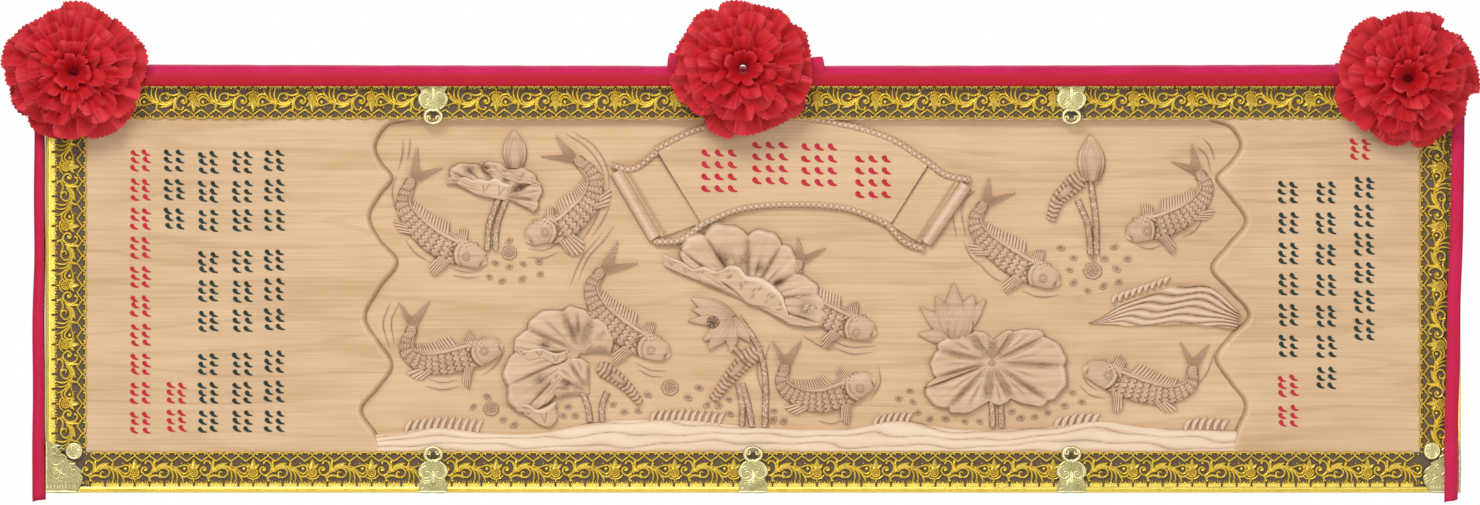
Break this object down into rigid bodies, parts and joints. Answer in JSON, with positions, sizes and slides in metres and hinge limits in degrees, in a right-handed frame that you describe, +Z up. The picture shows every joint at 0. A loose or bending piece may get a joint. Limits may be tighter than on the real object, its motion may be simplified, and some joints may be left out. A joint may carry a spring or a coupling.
{
  "type": "carved wood wall plaque",
  "caption": "Long carved wood wall plaque with koi and lotus in a cusped recess, pierced gilt edging, a red velvet sash and cloth rosettes along its top edge.",
  "frame": {"origin": "middle of the flat back of the board, on the wall", "axes": "+X to the viewer's right along the length, +Z up, +Y into the wall; the carving faces -Y"},
  "size_m": [1.897, 0.1183, 0.6421],
  "materials": {
    "carved_wood": "satin",
    "gilt_trim": "satin",
    "pale_gilt": "satin",
    "red_velvet": "matte",
    "red_cloth": "matte",
    "green_paint": "satin",
    "red_paint": "satin"
  },
  "bodies": {
    "root": {"plaque_board": "carved_wood", "trim_top_1": "gilt_trim", "trim_top_2": "gilt_trim", "trim_top_3": "gilt_trim", "trim_top_4": "gilt_trim", "trim_bottom_1": "gilt_trim", "trim_bottom_2": "gilt_trim", "trim_bottom_3": "gilt_trim", "trim_bottom_4": "gilt_trim", "trim_left": "gilt_trim", "trim_right": "gilt_trim", "joint_cover_top_1": "pale_gilt", "joint_cover_top_2": "pale_gilt", "joint_cover_top_3": "pale_gilt", "joint_cover_bottom_1": "pale_gilt", "joint_cover_bottom_2": "pale_gilt", "joint_cover_bottom_3": "pale_gilt", "corner_cover_top_left": "pale_gilt", "corner_cover_top_right": "pale_gilt", "corner_cover_bottom_left": "pale_gilt", "corner_cover_bottom_right": "pale_gilt", "sash_ribbon": "red_velvet", "rosette_left": "red_cloth", "rosette_centre": "red_cloth", "rosette_right": "red_cloth"}
  },
  "joints": []
}
